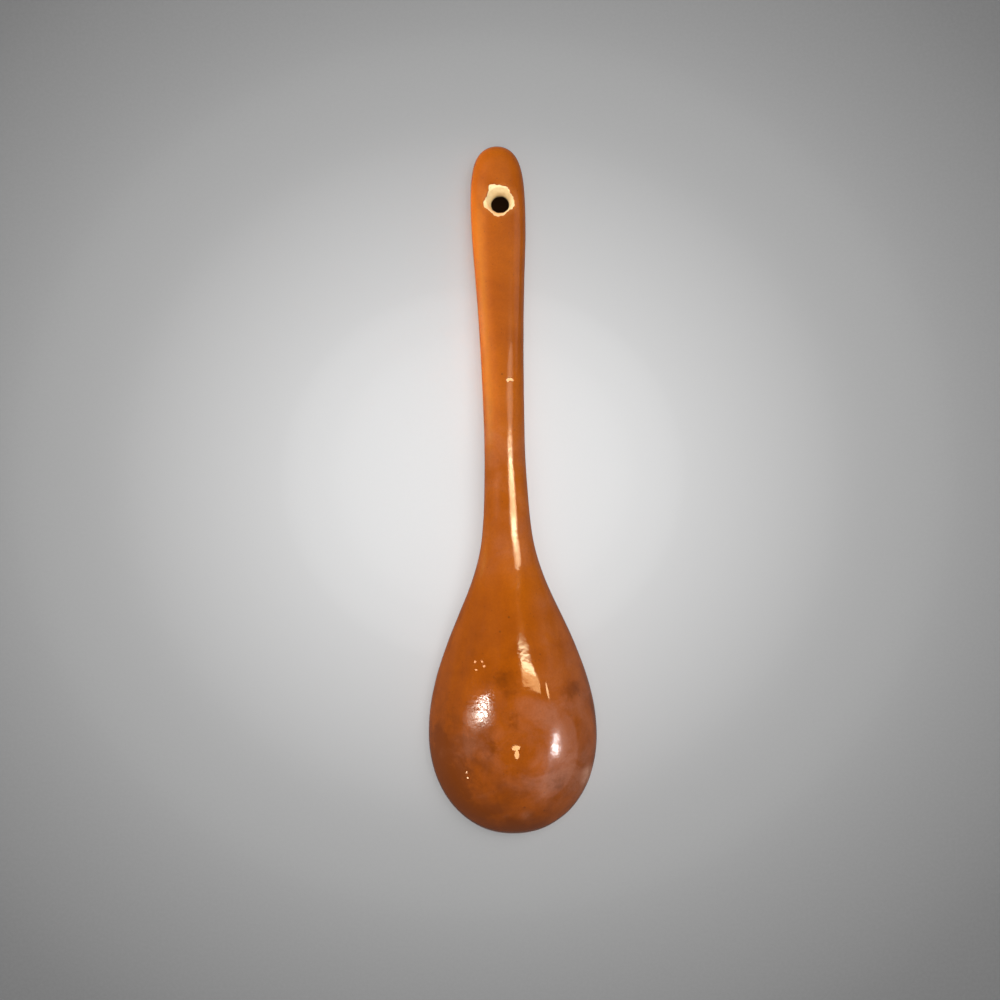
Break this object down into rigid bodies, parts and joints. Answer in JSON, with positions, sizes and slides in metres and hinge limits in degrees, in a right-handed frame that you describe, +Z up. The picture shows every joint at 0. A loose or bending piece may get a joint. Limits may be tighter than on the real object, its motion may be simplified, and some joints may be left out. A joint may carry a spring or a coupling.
{
  "type": "ceramic spoon",
  "caption": "Glazed ceramic serving spoon with a deep oval bowl, a slim neck and a long flattened handle pierced near its end with a hole for hanging.",
  "frame": {"origin": "on the plane the spoon lies on, below the middle of its length and width", "axes": "+Z up out of the back of the bowl, +Y along the handle towards its pierced end, +X across the bowl"},
  "size_m": [0.0588, 0.2398, 0.0212],
  "materials": {
    "clay": "bare cream earthenware, matt, seen only at the hanging hole and in a chip",
    "glaze": "glossy caramel-brown glaze with soft mottling and fine dark specks"
  },
  "bodies": {
    "root": {"clay_body": "clay", "glaze_coat": "glaze"}
  },
  "joints": []
}
